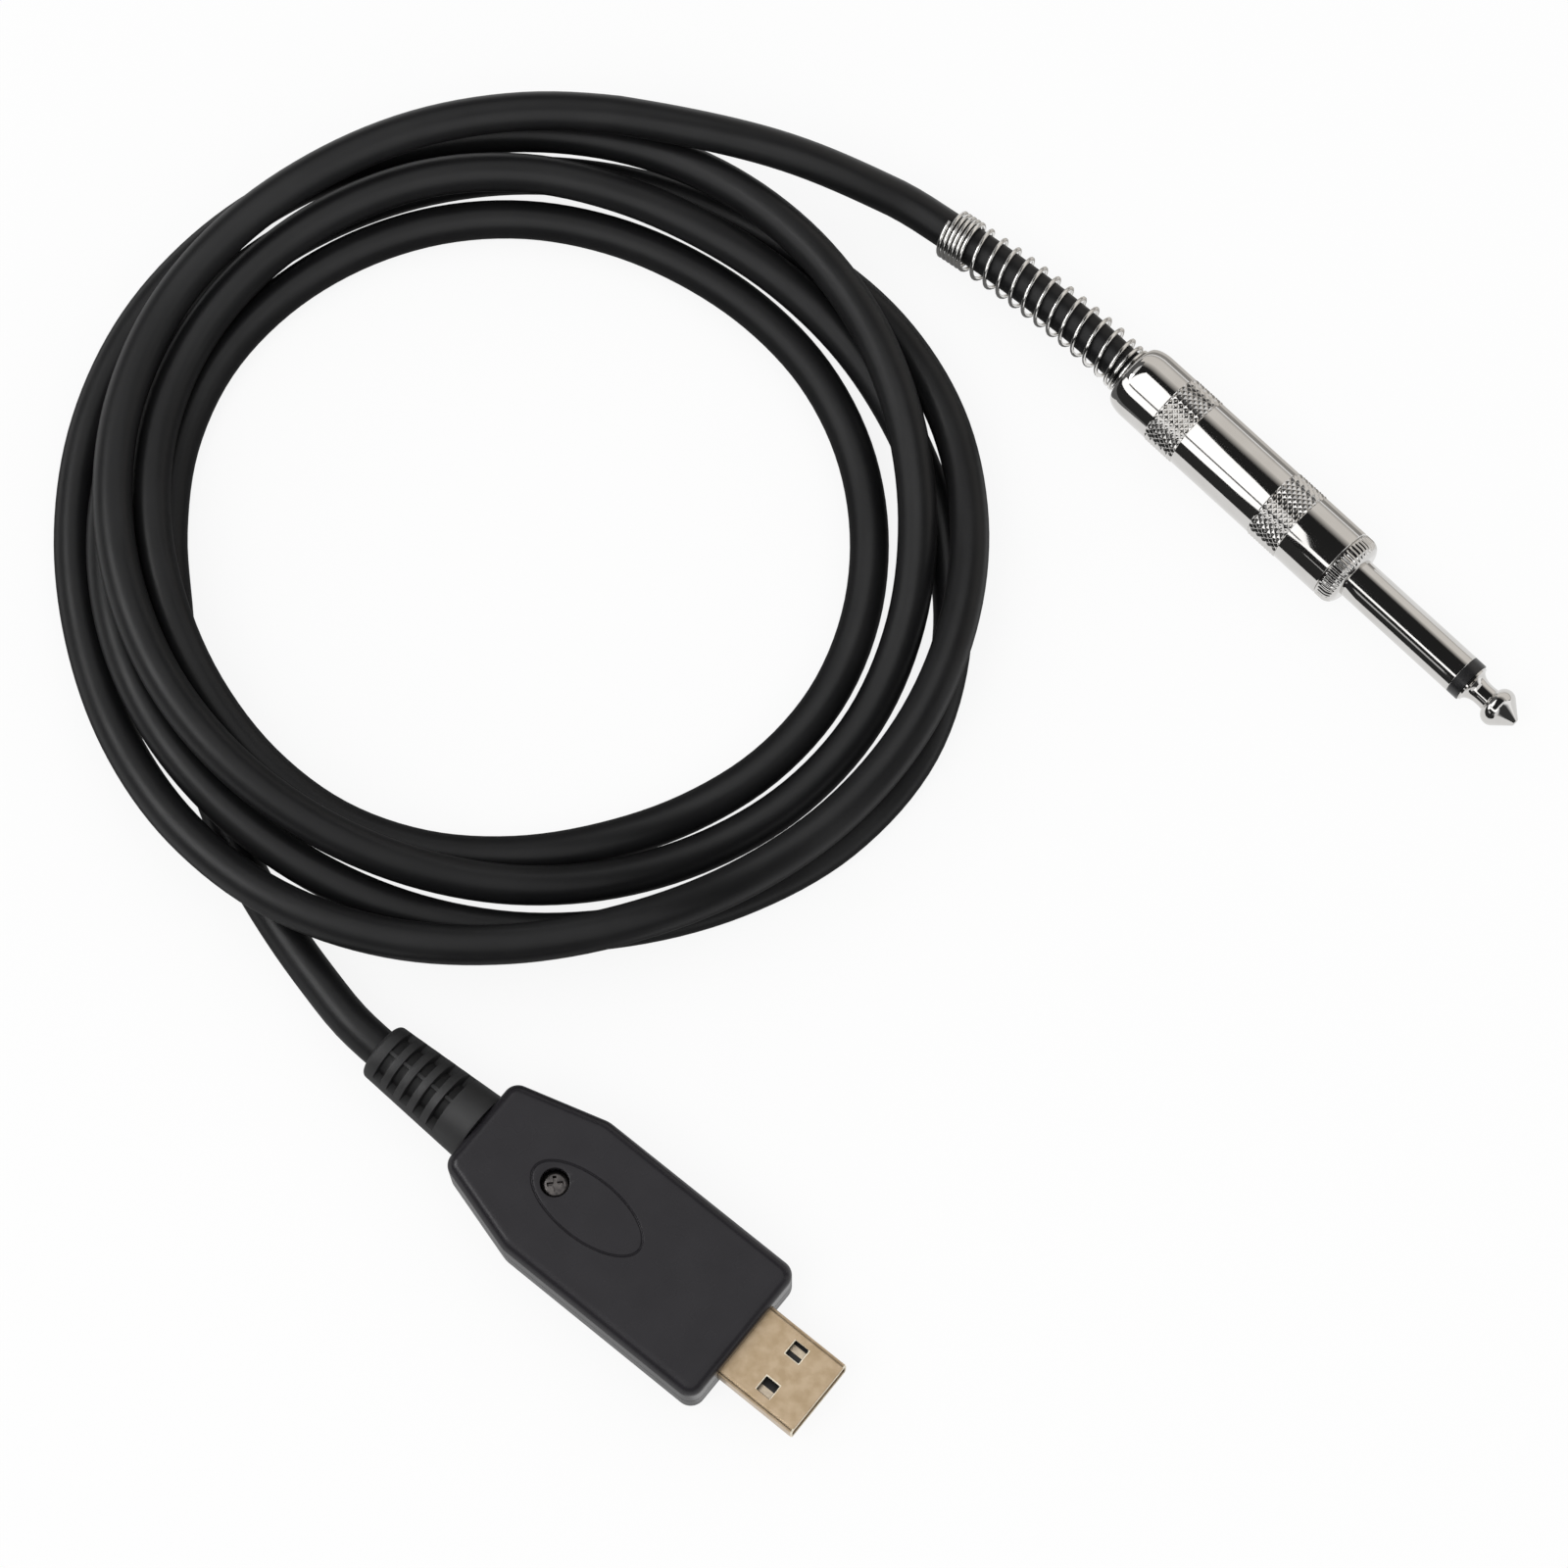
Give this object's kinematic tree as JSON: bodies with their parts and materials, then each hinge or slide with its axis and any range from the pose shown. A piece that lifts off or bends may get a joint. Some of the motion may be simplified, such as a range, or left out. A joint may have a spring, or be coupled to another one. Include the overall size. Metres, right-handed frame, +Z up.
{
  "type": "instrument cable",
  "caption": "Coiled instrument cable with a USB audio interface plug, moulded strain relief, and a quarter-inch plug with a screwed barrel and spring guard",
  "frame": {"origin": "centre of the flat underside of the USB housing, on the table", "axes": "+Z up from the table, +X to the right and +Y away as the object is seen from its USB end; the quarter-inch plug points along (1, -1, 0)"},
  "size_m": [0.2103, 0.1966, 0.017],
  "materials": {
    "housing_plastic": "black moulded plastic, satin with a fine grain",
    "screw_steel": "dark oxidised steel",
    "shell_metal": "champagne-coloured plated sheet metal",
    "tongue_plastic": "off-white moulded plastic",
    "contact_metal": "gold-plated contact blades",
    "board_laminate": "green glass-fibre laminate",
    "chip_plastic": "black epoxy",
    "can_metal": "pressed steel can",
    "capacitor_ceramic": "brown ceramic",
    "wire_insulation": "red wire insulation",
    "copper": "twisted bare copper",
    "relief_rubber": "black moulded strain relief, matte",
    "cord_jacket": "black cord jacket, satin",
    "spring_steel": "bright plated spring wire",
    "plug_metal": "polished bright plating",
    "tube_plastic": "dark insulating tube",
    "terminal_brass": "tinned brass",
    "ring_plastic": "black insulating plastic",
    "washer_plastic": "brown laminated insulator"
  },
  "bodies": {
    "cable": {"housing_top": "housing_plastic", "housing_bottom": "housing_plastic", "housing_screw": "screw_steel", "usb_shell": "shell_metal", "usb_tongue": "tongue_plastic", "usb_contacts": "contact_metal", "circuit_board": "board_laminate", "codec_chip": "chip_plastic", "crystal_can": "can_metal", "board_capacitors": "capacitor_ceramic", "usb_core_wire": "wire_insulation", "usb_shield_wire": "copper", "strain_relief": "relief_rubber", "cable_usb_lead": "cord_jacket", "cable_coil": "cord_jacket", "cable_jack_lead": "cord_jacket", "spring_guard": "spring_steel", "jack_collar": "plug_metal", "jack_sleeve": "plug_metal", "cord_clamp": "terminal_brass", "tip_insulator": "ring_plastic", "rear_insulator": "washer_plastic", "jack_tip": "plug_metal", "tip_terminal": "terminal_brass", "jack_core_wire": "wire_insulation", "jack_shield_wire": "copper"},
    "barrel_slider": {"insulating_tube": "tube_plastic"},
    "barrel": {"jack_barrel": "plug_metal"}
  },
  "joints": [
    {"name": "barrel_slide", "type": "slide", "parent": "cable", "child": "barrel_slider", "axis": [-0.7071, 0.7071, 0], "range_m": [0, 0.005]},
    {"name": "barrel_turn", "type": "hinge", "parent": "barrel_slider", "child": "barrel", "pos_m": [0.0745, 0.1275, 0.0057], "axis": [-0.7071, 0.7071, 0], "range_deg": [0, 1800]}
  ],
  "couplings": [
    {"joint": "barrel_turn", "follows": "barrel_slide", "rad_per_m": 6283.2}
  ]
}
